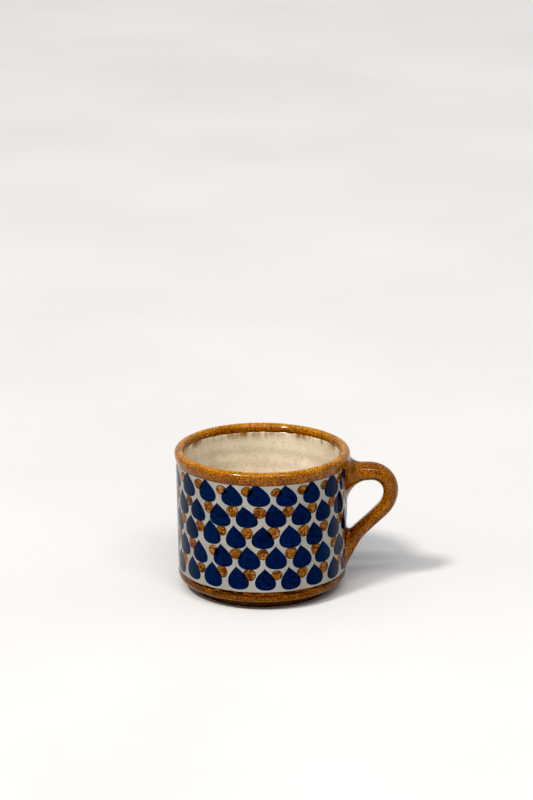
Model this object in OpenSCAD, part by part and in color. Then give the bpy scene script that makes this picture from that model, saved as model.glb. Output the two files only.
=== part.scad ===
// Hand-painted stoneware mug: a low, wide, nearly straight cup with a turned foot ring that
// drops inside the lip of the next mug, and a pulled strap handle luted on at one side.
// The origin is on the mug's axis in the plane that it stands on. +Z is up, and the handle
// points along +X. Sizes are millimetres over the glaze, unless a comment says otherwise.

/* [Cup] */
// Diameter over the rolled lip
rim_d = 88; // [80:0.5:108]
// Height from the table to the top of the lip
mug_h = 72.4; // [62:0.2:90]
// Thickness of the rolled lip
lip_t = 4.8; // [4:0.1:6]
// Thickness of the wall just above the floor
wall_t = 4.2; // [3.4:0.1:5.4]
// Thickness of the floor
floor_t = 5; // [4:0.1:7]
// Radius of the corner between the floor and the inside of the wall
corner_r = 7; // [3:0.5:12]
// Length of the straight mouth, down from the middle of the lip's roll
mouth_l = 16; // [8:1:24]

/* [Foot] */
// Diameter of the turned foot ring
foot_d = 70; // [50:1:76]
// Width of the foot ring's face, its bevels included
foot_w = 5; // [3.5:0.1:8]
// Height of the step from the table to the underside of the heel
foot_h = 4.4; // [3:0.1:6]
// Depth of the hollow inside the foot ring
hollow_h = 3.4; // [1:0.1:4]
// Bevel on both edges of the foot ring
foot_bevel = 0.8; // [0.4:0.1:1.5]
// Radius of the rounded heel
heel_r = 3.5; // [2:0.1:5]

/* [Glaze and painting] */
// Thickness of every coat of glaze
glaze_t = 0.4; // [0.3:0.05:0.6]
// Height of the brown band over the heel
foot_band_h = 6; // [5.5:0.1:9]
// Height of the brown band below the top of the lip
rim_band_h = 6.4; // [5.5:0.1:9]
// How far the brown glaze runs down inside, below the top of the lip
rim_inside_h = 4; // [3:0.1:8]
// How far the pale band's upper edge lies inside the lip's outer face
band_inset = 0.7; // [0.3:0.1:1.5]
// How much the radius shrinks from the pale band's upper edge to its lower edge
band_taper = 1; // [0:0.1:3]
// Width of one painted drop
drop_w = 10; // [6:0.1:11]
// Height of one painted drop
drop_h = 11.4; // [10:0.1:14]
// Distance from drop to drop around the mug, which is fitted to a whole number of drops
drop_pitch = 14.1; // [12:0.1:18]
// Distance from row to row, which is fitted to a whole number of rows
row_pitch = 10.9; // [9.5:0.1:16]
// Gap between the lowest drops and the brown foot band
drop_gap = 1; // [0.5:0.1:2]
// Turn of the lowest row's first drop from the handle
first_turn = 6.5; // [0:0.1:18]
// How far each row turns on top of half a drop, over the row below it
row_turn = -1.1; // [-2:0.1:2]
// Diameter of one painted dot
dot_d = 5; // [2:0.1:5.2]
// Thickness of the raised paint
paint_t = 0.2; // [0.1:0.05:0.3]

/* [Handle] */
// How far the handle stands out from the lip
handle_reach = 24.4; // [20:0.2:32]
// Depth of the arch's middle line below the top of the lip
arch_drop = 12.4; // [11:0.2:18]
// How far the strap's middle line dips from the arch to the wall
root_dip = 1.6; // [1.4:0.2:3.6]
// Thickness of the strap where it leaves the lip
root_t = 11.4; // [8:0.2:12]
// Thickness of the strap at its outermost point
handle_t = 7.4; // [6:0.1:9]
// Width of the strap
handle_w = 11.4; // [8:0.2:16]
// Radius of the arch at the top of the strap
arch_r = 9.9; // [8:0.1:12]
// Radius of the outer bend below the arch
bend_r = 14.5; // [10:0.5:18]
// Lean of the straight run below the bends, measured from upright
run_lean = 46; // [36:1:54]
// Radius of the bend that turns the strap down along the wall
tail_r = 16; // [10:1:22]
// Height at which the tail dies into the heel
tail_z = 8; // [6:0.5:14]
// How deep inside the wall's outer face the tail's middle line ends
tail_depth = 3; // [2.4:0.1:4]
// Lean of the tail against the wall, measured from upright
tail_lean = 22; // [14:1:28]
// Spread of the slip that fillets the strap's upper end
slip_spread = 6.4; // [3:0.2:6.4]
// Spread of the slip along the strap's tail
tail_spread = 1; // [0.5:0.1:1.5]
// Bare clearance that the painter leaves beside the handle
paint_gap = 0.8; // [0.4:0.1:2]

/* [Hidden] */
$fn = 120;
// Cup
rim_r = rim_d / 2;
lip_r = lip_t / 2;
lip_x = rim_r - lip_r;
lip_z = mug_h - lip_r;
mouth_r = rim_r - lip_t;
band_z0 = foot_h + foot_band_h;
band_z1 = mug_h - rim_band_h;
band_r1 = rim_r - band_inset;
band_r0 = band_r1 - band_taper;
heel_x = band_r0 - heel_r;
heel_z = foot_h + heel_r;
floor_z = hollow_h + floor_t;
inside_r0 = band_r0 - wall_t;
foot_r = foot_d / 2;
// The heel's glaze laps over the ring's shoulder by its own thickness
ring_lap_r = foot_r - glaze_t;
above = 1;
mid_floor_z = (foot_h + floor_z) / 2;
// Painting: whole numbers of drops and rows that fill the pale band
drops_round = round(PI * (band_r0 + band_r1) / drop_pitch);
drop_turn = 360 / drops_round;
rows_h = band_z1 - band_z0 - drop_gap - drop_h;
rows = 1 + max(1, round(rows_h / row_pitch));
row_step = rows_h / (rows - 1);
drop_r = drop_w / 2;
// The dot sits midway between the bottom of the drop above it and its neighbours' shoulders
dot_rise = row_step - drop_r - dot_d / 2 - paint_t;
// Handle: the middle line of the strap, from inside the wall at the lip to inside the heel
handle_x = rim_r + handle_reach - handle_t / 2;
arch_z = mug_h - arch_drop;
wall_x = band_r0 - wall_t / 2;
root_z = arch_z - root_dip;
arch_x = handle_x - arch_r;
arch_c = [arch_x, arch_z - arch_r];
bend_c = [handle_x - bend_r, arch_c[1]];
run_p0 = bend_c + bend_r * [cos(run_lean), -sin(run_lean)];
// The strap turns from the run's lean to the tail's lean and then follows the wall down
tail_p1 = [band_r0 - tail_depth, tail_z];
tail_turn = run_lean - tail_lean;
tail_dir = [sin(tail_lean), cos(tail_lean)];
run_dir = [sin(run_lean), cos(run_lean)];
// Where the run and the tail would cross if there were no bend between them
tail_cross = cross_lines(run_p0, run_dir, tail_p1, tail_dir);
tail_cut = tail_r * tan(tail_turn / 2);
run_p1 = tail_cross + tail_cut * run_dir;
tail_p0 = tail_cross - tail_cut * tail_dir;
tail_c = run_p1 + tail_r * [cos(run_lean), -sin(run_lean)];
// Flat sides of the strap's section, and rings along each length of its middle line
strap_sides = 20;
root_steps = 6;
arch_steps = 8;
bend_steps = 4;
run_steps = 2;
turn_steps = 4;
tail_steps = 6;
// Bare patches of the band where the handle's two ends stand
root_clear = handle_w / 2 + slip_spread + paint_gap;
tail_clear = handle_w / 2 + tail_spread + paint_gap;
tail_top = tail_cross[1] + paint_gap;

// Crossing of the line through p along u with the line through q along v
function cross_lines(p, u, q, v) =
    p + u * (((q[0] - p[0]) * v[1] - (q[1] - p[1]) * v[0]) / (u[0] * v[1] - u[1] * v[0]));

// ---------------------------------------------------------------- cup sections

// Everything inside the outer face of the cup, in the r-z plane, set in by `inset`
module outer_half(inset) {
    polygon([[0, foot_h + inset], [heel_x, foot_h + inset], [band_r0 - inset, heel_z],
             [band_r0 - inset, band_z0], [band_r1 - inset, band_z1], [rim_r - inset, lip_z],
             [0, lip_z]]);
    translate([heel_x, heel_z]) circle(r = heel_r - inset);
    translate([lip_x, lip_z]) circle(r = lip_r - inset);
}

// The hollow of the cup in the r-z plane, grown by `grow`
module cavity_half(grow) {
    corner = corner_r + grow;
    polygon([[0, floor_z - grow], [inside_r0 - corner_r, floor_z - grow],
             [inside_r0 + grow, floor_z + corner_r], [mouth_r + grow, lip_z - mouth_l],
             [mouth_r + grow, mug_h + above], [0, mug_h + above]]);
    translate([inside_r0 - corner_r, floor_z + corner_r]) circle(r = corner);
}

// The foot ring and the floor over its hollow
module foot_half() {
    polygon([[0, hollow_h], [foot_r - foot_w, hollow_h], [foot_r - foot_w, foot_bevel],
             [foot_r - foot_w + foot_bevel, 0], [foot_r - foot_bevel, 0],
             [foot_r, foot_bevel], [foot_r, foot_h], [ring_lap_r, foot_h],
             [ring_lap_r, foot_h + glaze_t], [0, foot_h + glaze_t]]);
}

// The part of the r-z plane on the inner side of the wall's middle
module inner_zone(z0, z1) {
    intersection() {
        polygon([[0, mid_floor_z], [heel_x, mid_floor_z], [band_r0 - wall_t / 2, band_z0],
                 [lip_x, lip_z], [lip_x, mug_h + above], [0, mug_h + above]]);
        translate([0, z0]) square([rim_r, z1 - z0]);
    }
}

// The part of the r-z plane on the outer side of the wall's middle
module outer_zone(z0, z1) {
    difference() {
        translate([0, z0]) square([rim_r + above, z1 - z0]);
        inner_zone(0, mug_h + above);
    }
}

// The whole coat of glaze in the r-z plane: the glazed cup less the clay
module coat_half() {
    difference() {
        outer_half(0);
        cavity_half(0);
        difference() {
            outer_half(glaze_t);
            cavity_half(glaze_t);
        }
        square([ring_lap_r, foot_h + glaze_t]);
    }
}

// ---------------------------------------------------------------- handle sections

// Points [x, z, lean] along an arc; lean is the way the strap's thickness points
function arc(c, r, a0, a1, n) =
    [for (i = [1 : n]) let (a = a0 + (a1 - a0) * i / n) [c[0] + r * cos(a), c[1] + r * sin(a), a]];

function line(p, q, lean, n) =
    [for (i = [1 : n]) let (k = i / n) [p[0] + (q[0] - p[0]) * k, p[1] + (q[1] - p[1]) * k, lean]];

path = concat([[wall_x, root_z, 90]],
              [for (i = [1 : root_steps]) let (k = i / root_steps)
                  [wall_x + (arch_x - wall_x) * k, root_z + (arch_z - root_z) * sin(90 * k), 90]],
              arc(arch_c, arch_r, 90, 0, arch_steps),
              arc(bend_c, bend_r, 0, -run_lean, bend_steps),
              line(run_p0, run_p1, -run_lean, run_steps),
              [for (i = [1 : turn_steps]) let (a = run_lean - tail_turn * i / turn_steps)
                  [tail_c[0] - tail_r * cos(a), tail_c[1] + tail_r * sin(a), -a]],
              line(tail_p0, tail_p1, -tail_lean, tail_steps));
last = len(path) - 1;

// Share of the way along the strap, and the strap's half thickness and half width there; it is
// pulled thinner towards the end of the run, and the tail is pressed flat and a little wider
function share(i) = i / last;
arch_end = (root_steps + arch_steps) / last;
run_end = (root_steps + arch_steps + bend_steps + run_steps) / last;
tail_start = 1 - tail_steps / last;
function half_t(s) = lookup(s, [[0, root_t / 2], [root_steps / last, handle_t * 0.62],
                                [arch_end, handle_t / 2], [run_end, handle_t * 0.44],
                                [tail_start, handle_t / 2], [1, handle_t * 0.22]]);
function half_w(s) = handle_w * lookup(s, [[0, 0.56], [root_steps / last, 0.5],
                                           [tail_start, 0.46], [1, 0.54]]);

// Spread of the slip fillets: widest at the wall, none on the free part of the strap
function upper_slip(i) = slip_spread * pow(max(0, 1 - i / root_steps), 2);
function lower_slip(i) = tail_spread * pow(max(0, 1 - (last - i) / tail_steps), 2);
function slip(i) = upper_slip(i) + lower_slip(i);

// One ring of the strap, grown by `grow`
function ring(i, grow) =
    let (p = path[i], a = half_t(share(i)) - glaze_t + grow, b = half_w(share(i)) - glaze_t + grow)
    [for (k = [0 : strap_sides - 1]) let (u = 360 * k / strap_sides)
        [p[0] + a * cos(u) * cos(p[2]), b * sin(u), p[1] + a * cos(u) * sin(p[2])]];

// Two triangles between two rings that start at points m and n
function skin(m, n) =
    [for (k = [0 : strap_sides - 1]) let (l = (k + 1) % strap_sides)
        each [[m + k, n + l, n + k], [m + k, m + l, n + l]]];
function turned(faces) = [for (f = faces) [for (k = [len(f) - 1 : -1 : 0]) f[k]]];
function ring_cap(m) = [for (k = [0 : strap_sides - 1]) m + k];

// A solid strap from ring i0 to ring i1, grown by grow + slip
module strap(i0, i1, grow, with_slip) {
    n = strap_sides;
    points = [for (i = [i0 : i1]) each ring(i, grow + (with_slip ? slip(i) : 0))];
    faces = [for (i = [0 : i1 - i0 - 1]) each skin(i * n, (i + 1) * n)];
    polyhedron(points, concat(turned([ring_cap(0)]), faces, [ring_cap((i1 - i0) * n)]));
}

// A collar of slip around the strap, from ring i0, and down to nothing at ring i1
module collar(i0, i1) {
    n = strap_sides;
    step = i1 > i0 ? 1 : -1;
    count = abs(i1 - i0);
    points = concat([for (i = [i0 : step : i1]) each ring(i, slip(i))],
                    [for (i = [i0 : step : i1 - step]) each ring(i, 0)]);
    m = (count + 1) * n;
    outer = [for (i = [0 : count - 1]) each skin(i * n, (i + 1) * n)];
    inner = concat([for (i = [0 : 1 : count - 2]) each skin(m + i * n, m + (i + 1) * n)],
                   skin(m + (count - 1) * n, count * n));
    faces = concat(outer, turned(inner), skin(m, 0));
    polyhedron(points, step > 0 ? faces : turned(faces));
}

// The coat of glaze on the strap and its slip, open at both ends
module strap_coat() {
    n = strap_sides;
    points = concat([for (i = [0 : last]) each ring(i, slip(i) + glaze_t)],
                    [for (i = [0 : last]) each ring(i, slip(i))]);
    m = (last + 1) * n;
    outer = [for (i = [0 : last - 1]) each skin(i * n, (i + 1) * n)];
    inner = [for (i = [0 : last - 1]) each skin(m + i * n, m + (i + 1) * n)];
    polyhedron(points, concat(outer, turned(inner), skin(m, 0), skin(last * n, m + last * n)));
}

// What the cup's clay fills, with its hollow filled in too
module clay_bulk() rotate_extrude() outer_half(glaze_t);

// A coat of glaze around the cup, cut away where the handle stands on the clay; the surface
// of revolution starts opposite the handle
module cup_coat() {
    difference() {
        rotate([0, 0, 180]) rotate_extrude() intersection() {
            coat_half();
            children();
        }
        strap(0, last, glaze_t, true);
    }
}

// ---------------------------------------------------------------- painting

// One drop: a round bottom drawn up to a point
module drop_2d() {
    tip = drop_h - drop_r;
    rise = drop_r * drop_r / tip;
    side = drop_r * sqrt(1 - pow(drop_r / tip, 2));
    circle(r = drop_r);
    polygon([[-side, rise], [0, 0], [side, rise], [0, tip]]);
}

// The raised paint lies in a thin sleeve over the pale band
module paint_sleeve() {
    rotate_extrude() polygon([[band_r0, band_z0], [band_r0 + paint_t, band_z0],
                              [band_r1 + paint_t, band_z1], [band_r1, band_z1]]);
}

// Puts a flat figure on the band at a row and a turn, drawn through the sleeve
module on_band(row, turn, rise) {
    rotate([0, 0, turn]) translate([band_r0 / 2, 0, band_z0 + drop_gap + drop_r + row * row_step + rise])
        rotate([90, 0, 90]) linear_extrude(rim_r) children();
}

// The parts of the band that the handle's two ends cover
module handle_clear() {
    translate([0, -root_clear, root_z - root_t / 2 - slip_spread - paint_gap])
        cube([rim_r + above, 2 * root_clear, mug_h]);
    translate([0, -tail_clear, 0]) cube([rim_r + above, 2 * tail_clear, tail_top]);
}

// Turn of figure k of a row; odd rows are half a drop round, and shift moves a figure on
function turn_at(row, k, shift) = first_turn + row_turn * row + drop_turn * (k + (row % 2) / 2 + shift);

// Repeats a flat figure round every row
module painted(shift, rise) {
    for (row = [0 : rows - 1]) difference() {
        intersection() {
            paint_sleeve();
            union() for (k = [0 : drops_round - 1])
                on_band(row, turn_at(row, k, shift), rise) children();
        }
        handle_clear();
    }
}

// ---------------------------------------------------------------- pieces

// Thrown wall, floor and lip with the turned foot ring
module clay_body() {
    color("#b9a68c") rotate_extrude() difference() {
        union() {
            outer_half(glaze_t);
            foot_half();
        }
        cavity_half(glaze_t);
    }
}

// Pulled clay strap
module handle() {
    color("#b9a68c") difference() {
        strap(0, last, 0, false);
        clay_bulk();
    }
}

// Fillet of slip round the strap's upper end
module upper_slip_joint() {
    color("#a8927a") difference() {
        collar(0, root_steps);
        clay_bulk();
    }
}

// Fillet of slip round the strap's tail
module lower_slip_joint() {
    color("#a8927a") difference() {
        collar(last, last - tail_steps);
        clay_bulk();
    }
}

// Cream glaze inside the cup
module liner_glaze() {
    color("#d8c8a4") rotate_extrude() intersection() {
        coat_half();
        inner_zone(0, mug_h - rim_inside_h);
    }
}

// Brown glaze over the lip
module rim_glaze() {
    color("#96560f") cup_coat() {
        inner_zone(mug_h - rim_inside_h, mug_h + above);
        outer_zone(band_z1, mug_h + above);
    }
}

// Pale glaze under the painting
module band_glaze() {
    color("#b3a48f") cup_coat() outer_zone(band_z0, band_z1);
}

// Brown glaze over the heel, down to the foot ring
module foot_glaze() {
    color("#8a510c") cup_coat() outer_zone(0, band_z0);
}

// Brown glaze on the handle and its slip
module handle_glaze() {
    color("#96560f") difference() {
        strap_coat();
        clay_bulk();
    }
}

// Cobalt drops, point up
module blue_drops() {
    color("#060f34") painted(0, 0) drop_2d();
}

// Amber dots, each just below a drop of the row above
module amber_dots() {
    color("#84500f") painted(0.5, dot_rise) circle(d = dot_d);
}

clay_body();
handle();
upper_slip_joint();
lower_slip_joint();
liner_glaze();
rim_glaze();
band_glaze();
foot_glaze();
handle_glaze();
blue_drops();
amber_dots();
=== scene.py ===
# %% [markdown]
# # A hand-painted stoneware mug
# This lesson dresses a finished CAD model of a low, wide stacking mug. The CAD frame already
# holds every real size: the thrown cup, the turned foot ring, the pulled handle and the thin
# coats of glaze. Here each coat gets a mesh of its own with the small faults of hand work, and
# a glaze built from shader nodes.

# %% The frame and its sizes
import math

import bpy
import numpy as np
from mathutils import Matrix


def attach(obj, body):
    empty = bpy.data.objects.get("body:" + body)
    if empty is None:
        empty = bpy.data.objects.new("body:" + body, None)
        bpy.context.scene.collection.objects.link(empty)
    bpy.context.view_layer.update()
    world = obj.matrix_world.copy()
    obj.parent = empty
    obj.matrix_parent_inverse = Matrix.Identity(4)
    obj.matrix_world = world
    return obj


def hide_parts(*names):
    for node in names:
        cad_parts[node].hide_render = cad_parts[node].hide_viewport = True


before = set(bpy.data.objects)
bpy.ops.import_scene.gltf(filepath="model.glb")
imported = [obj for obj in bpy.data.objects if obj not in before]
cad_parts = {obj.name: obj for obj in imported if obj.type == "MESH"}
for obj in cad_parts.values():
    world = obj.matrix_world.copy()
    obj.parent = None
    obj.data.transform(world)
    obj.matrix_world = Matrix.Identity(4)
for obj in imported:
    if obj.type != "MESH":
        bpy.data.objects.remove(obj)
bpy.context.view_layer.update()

mm = 0.001


def node_points(name):
    """All the corners of a CAD node, as rows of x, y, z in millimetres."""
    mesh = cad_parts[name].data
    flat = np.empty(len(mesh.vertices) * 3)
    mesh.vertices.foreach_get("co", flat)
    return flat.reshape(-1, 3) / mm


def across(points):
    """Distance of each point from the mug's axis."""
    return np.hypot(points[:, 0], points[:, 1])


rim_pts = node_points("rim_glaze")
band_pts = node_points("band_glaze")
liner_pts = node_points("liner_glaze")
clay_pts = node_points("clay_body")
lip_top = rim_pts[:, 2].max()
rim_r = across(rim_pts).max()
mouth_r = across(rim_pts).min()
lip_r = (rim_r - mouth_r) / 2
lip_x = rim_r - lip_r
lip_z = lip_top - lip_r
rim_inside_z = liner_pts[:, 2].max()
band_z0 = band_pts[:, 2].min()
band_z1 = band_pts[:, 2].max()
band_r0 = across(band_pts[band_pts[:, 2] < band_z0 + 0.1]).max()
band_r1 = across(band_pts).max()
step_z = node_points("foot_glaze")[:, 2].min()
ring_out = across(clay_pts[clay_pts[:, 2] < step_z - 0.2]).max()
ring_in = across(clay_pts[clay_pts[:, 2] < 0.1]).min()
coat_t = 0.4
floor_z = liner_pts[:, 2].min() + coat_t
print("lip radius %.2f, lip top %.2f, mouth radius %.2f" % (rim_r, lip_top, mouth_r))
print("band %.2f to %.2f, radius %.2f to %.2f" % (band_z0, band_z1, band_r0, band_r1))
print("step %.2f, foot ring %.2f to %.2f, floor %.2f" % (step_z, ring_in, ring_out, floor_z))

# %% [markdown]
# ## The camera
# A long lens from a few steps away keeps the cup's sides nearly parallel, the way a product
# photographer works. The camera looks down by about seventeen degrees, so that the foot, the
# lip and a slice of the inside all show.

# %% Camera
camera_distance = 1.5
camera_height_angle = math.radians(19.0)
camera_pitch = math.radians(16.76)
cam_data = bpy.data.cameras.new("camera")
cam_data.lens = 133.5
camera = bpy.data.objects.new("camera", cam_data)
camera.location = (0.0022, -camera_distance * math.cos(camera_height_angle),
                   36 * mm + camera_distance * math.sin(camera_height_angle))
camera.rotation_euler = (math.pi / 2 - camera_pitch, 0, 0)
bpy.context.scene.collection.objects.link(camera)
bpy.context.scene.camera = camera
print("camera %.2f m away, looking down by %.1f degrees" % (camera_distance,
                                                            math.degrees(camera_pitch)))

# %% [markdown]
# ## Small helpers for mesh work
# Every coat on a thrown cup is a band of rings around the axis. `ring_faces` joins such rings
# into one closed skin: out over the glaze, round its edge, and back along the clay side. Each
# ring may wander up, down, in or out as it goes round, and `slow_waves` gives that wandering.
# It is what makes the piece look hand-made. `fan` closes a last small ring, and `link_piece`
# turns points and faces into an object.

# %% Mesh helpers
rng = np.random.default_rng(27)
sectors = 288
turn = np.arange(sectors) / sectors * 2 * math.pi
lay_x, lay_y = np.cos(turn), np.sin(turn)


def link_piece(name, verts, faces, marks=None):
    """A new object from millimetre points; marks are named numbers kept at every point."""
    mesh = bpy.data.meshes.new(name)
    mesh.from_pydata([tuple(v) for v in np.asarray(verts) * mm], [], faces)
    mesh.validate()
    for key, values in (marks or {}).items():
        layer = mesh.attributes.new(key, "FLOAT", "POINT")
        layer.data.foreach_set("value", np.asarray(values, dtype=np.float32))
    mesh.polygons.foreach_set("use_smooth", [True] * len(mesh.polygons))
    mesh.update()
    piece = bpy.data.objects.new(name, mesh)
    bpy.context.scene.collection.objects.link(piece)
    print("%s: %d points, %d faces" % (name, len(mesh.vertices), len(mesh.polygons)))
    return piece


def ring_faces(rows, around, close_rows):
    """Quads between neighbouring rings, and from the last ring to the first if close_rows."""
    faces = []
    for i in range(rows if close_rows else rows - 1):
        j = (i + 1) % rows
        for k in range(around):
            n = (k + 1) % around
            faces.append((i * around + k, i * around + n, j * around + n, j * around + k))
    return faces


def fan(first, around, middle, flip=False):
    """Triangles that close a ring, which starts at point first, with one point in its middle."""
    pairs = [(first + k, first + (k + 1) % around) for k in range(around)]
    return [(b, a, middle) if flip else (a, b, middle) for a, b in pairs]


def slow_waves(count, low, high, strength):
    """A gentle closed wave round the mug: a sum of a few random harmonics."""
    wave = np.zeros(count)
    angle = np.arange(count) / count * 2 * math.pi
    for h in range(low, high + 1):
        wave += rng.normal() * np.cos(h * angle + rng.uniform(0, 6.28)) / math.sqrt(h)
    return strength * wave / max(1e-6, np.abs(wave).max())


# %% [markdown]
# ## The cup's outline
# A thrown cup has one outline turned about its axis. It is put together here the way a
# draughtsman would: the step over the foot ring, the rounded heel, the slightly tapering wall,
# the rolled lip, the straight mouth, the inner wall, a round corner, and the floor. A short
# running average then softens every joint, because a wet sponge does the same to clay.

# %% Outline of the glazed cup
heel_r = 3.5
corner_r = 7.0
mouth_straight = 16.0
wall_t = 4.2


def arc_points(cx, cz, r, a0, a1, n):
    """n points on an arc of radius r about (cx, cz), from angle a0 to a1 in degrees."""
    a = np.radians(np.linspace(a0, a1, n))
    return np.stack([cx + r * np.cos(a), cz + r * np.sin(a)], 1)


def lengths(points):
    """Distance of each point along the line that they draw, from the first of them."""
    gaps = np.sqrt((np.diff(points, axis=0) ** 2).sum(1))
    return np.concatenate([[0], np.cumsum(gaps)])


def points_at(where, along, points):
    """The points of a line at some distances along it."""
    return np.stack([np.interp(where, along, column) for column in points.T], 1)


def outline():
    """Points (radius, height) from the foot ring, over the lip, to the middle of the floor."""
    rise = np.linspace(0, 1, 12)[:, None]
    swell = rise * rise * (3 - 2 * rise)
    bead = np.hstack([band_r1 + (rim_r - band_r1) * swell, band_z1 + (lip_z - band_z1) * rise])
    inside_r0 = band_r0 - wall_t
    parts = [np.array([[ring_out - 0.2, step_z]]),
             arc_points(band_r0 - heel_r, step_z + heel_r, heel_r, -90, 0, 14),
             np.array([[band_r0, band_z0]]), bead,
             arc_points(lip_x, lip_z, lip_r, 0, 180, 28)[1:],
             np.array([[mouth_r, lip_z - mouth_straight]]),
             arc_points(inside_r0 - corner_r, floor_z + corner_r, corner_r, 0, -90, 16),
             np.array([[0.0, floor_z - 0.3]])]
    rough = np.vstack(parts)
    along = lengths(rough)
    pts = points_at(np.arange(0, along[-1], 0.1), along, rough)
    soft = np.vstack([np.repeat(pts[:1], 6, 0), pts, np.repeat(pts[-1:], 6, 0)])
    kernel = np.ones(13) / 13
    return np.stack([np.convolve(soft[:, i], kernel, "valid") for i in (0, 1)], 1)


cup_line = outline()
cup_along = lengths(cup_line)
cup_slope = np.gradient(cup_line, axis=0)
cup_out = np.stack([cup_slope[:, 1], -cup_slope[:, 0]], 1)
cup_out /= np.hypot(cup_out[:, 0], cup_out[:, 1])[:, None]
crest_s = cup_along[np.argmax(cup_line[:, 1])]


def along_at(z, inside):
    """Distance along the outline at a height, on the outer or the inner side of the lip."""
    keep = cup_along > crest_s if inside else cup_along <= crest_s
    s, height = cup_along[keep], cup_line[keep, 1]
    order = np.argsort(height)
    return float(np.interp(z, height[order], s[order]))


def on_outline(s, lift=0.0):
    """Points (radius, height) at distances s along the outline, lifted off it."""
    at = [np.interp(s, cup_along, cup_line[:, i]) + lift * np.interp(s, cup_along, cup_out[:, i])
          for i in (0, 1)]
    return at[0], at[1]


def out_of_round(x, y, z):
    """The slight sway of a cup that was cut off the wheel wet: oval, with an uneven lip."""
    a = np.arctan2(y, x)
    high = np.clip(z / lip_top, 0, 1)
    grow = 1 + (0.0016 * np.cos(2 * a + 0.9) + 0.0008 * np.cos(3 * a - 0.4)) * high
    lift = (0.10 * np.cos(a + 2.2) + 0.06 * np.cos(3 * a + 1.0)) * high ** 3
    return np.stack([x * grow, y * grow, z + lift], -1)


print("outline %.1f mm long, lip crest at %.1f mm" % (cup_along[-1], crest_s))

# %% [markdown]
# ## A coat of glaze
# Glaze is a layer of glass a few tenths of a millimetre thick. Where two glazes meet, the one
# dipped last lies on top and ends in a soft rounded edge that wanders a little. `coat` makes
# such a layer between two wandering edges. It remembers how far each point is from its nearest
# edge, so that the shader can let the colour pool or thin out there.

# %% Coat maker
coat_depth = 0.32
round_over = 0.55


def edge_line(s, sway, rough):
    """The wandering edge of a coat, as a distance along the outline at every sector."""
    return s + slow_waves(sectors, 1, 5, sway) + slow_waves(sectors, 12, 60, rough)


def coat(name, s0, s1, step, top, free_edges=True):
    """A closed skin of glaze between the edges s0 and s1, proud of the outline by top.

    A free edge lies on another coat and is rounded off; the others are tucked under one.
    """
    rows = max(6, int(round((s1.mean() - s0.mean()) / step)))
    share = np.linspace(0, 1, rows + 1)
    # finer rows close to both edges, where the coat rounds off
    share = share - 0.09 * np.sin(2 * math.pi * share)
    far = np.full(sectors, 99.0)
    verts, edge, crest = [], [], []
    for k in share:
        s = s0 + (s1 - s0) * k
        from_edges = np.minimum(s - s0, s1 - s) if free_edges else far
        body = 1 - np.exp(-(from_edges / round_over) ** 1.3)
        r, z = on_outline(s, 0.0)
        nr, nz = (np.interp(s, cup_along, cup_out[:, i]) for i in (0, 1))
        lift = top * body - 0.02
        verts.append(out_of_round((r + lift * nr) * lay_x, (r + lift * nr) * lay_y, z + lift * nz))
        edge.append(from_edges)
        # crest marks the lip's crest, where the amber shader paints gold: partly the glaze breaking thin
        # there, partly a painted highlight along the roll
        crest.append(np.exp(-((s - crest_s) / 2.2) ** 2))
    for k in np.linspace(1, 0, max(3, rows // 5)):
        s = s0 + (s1 - s0) * k
        r, z = on_outline(s, -coat_depth)
        verts.append(out_of_round(r * lay_x, r * lay_y, z))
        edge.append(np.zeros(sectors))
        crest.append(np.zeros(sectors))
    faces = ring_faces(len(verts), sectors, True)
    return link_piece(name, np.vstack(verts), faces,
                      {"edge": np.concatenate(edge), "crest": np.concatenate(crest)})


# %% [markdown]
# ## Coats of glaze on the cup
# The potter glazes in four steps: cream inside, pale grey around the wall, and the amber iron
# glaze over the lip and the heel. The iron glaze is the thickest, so it stands a little proud
# of the pale band and hides its edges.

# %% The coats
tuck = 0.25
foot_edge = edge_line(along_at(band_z0, False), 0.22, 0.10)
rim_edge = edge_line(along_at(band_z1, False), 0.20, 0.10)
inside_edge = edge_line(along_at(rim_inside_z, True), 0.45, 0.28)
foot_start = np.full(sectors, 0.3) + slow_waves(sectors, 1, 9, 0.2)
pale_band = coat("pale_band", foot_edge - tuck, rim_edge + tuck, 0.9, 0.0, False)
amber_rim = coat("amber_rim", rim_edge, inside_edge, 0.45, 0.16)
amber_foot = coat("amber_foot", foot_start, foot_edge, 0.45, 0.16)

# %% [markdown]
# ## The liner
# The liner reaches the middle of the floor, where its rings shrink to a point. Inside the cup
# the fingers leave a faint spiral, which the light picks up as soft rings.

# %% The liner
liner_steps = 120
floor_s = cup_along[-1]


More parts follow.
